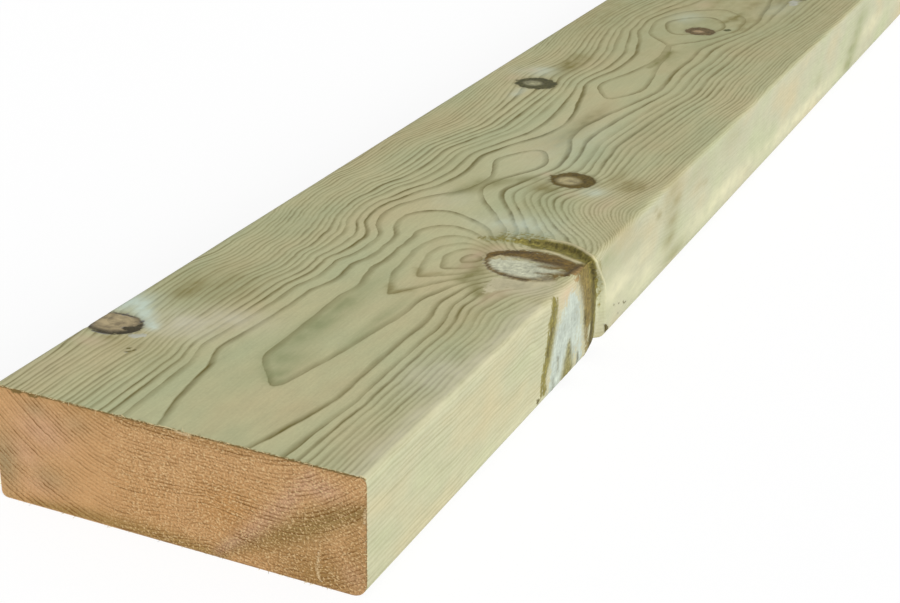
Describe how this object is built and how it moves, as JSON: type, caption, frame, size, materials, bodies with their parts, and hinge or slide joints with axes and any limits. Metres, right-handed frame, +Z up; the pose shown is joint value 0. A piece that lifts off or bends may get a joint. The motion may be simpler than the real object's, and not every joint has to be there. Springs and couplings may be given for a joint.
{
  "type": "timber lumber plank",
  "caption": "Straight sawn and planed softwood plank with eased arrises, square-cut ends and a torn hollow behind an edge knot.",
  "frame": {"origin": "centre of the underside, halfway along the plank", "axes": "+Y along the plank away from its near end, +X across its width towards the edge with the big knot, +Z up out of its upper face"},
  "size_m": [0.147, 2.4, 0.045],
  "materials": {
    "treated_softwood": "planed pressure-treated softwood, pale grey-green with olive growth-ring lines, brown-ringed knots and a pinkish-tan sawn end"
  },
  "bodies": {
    "root": {"plank": "treated_softwood"}
  },
  "joints": []
}
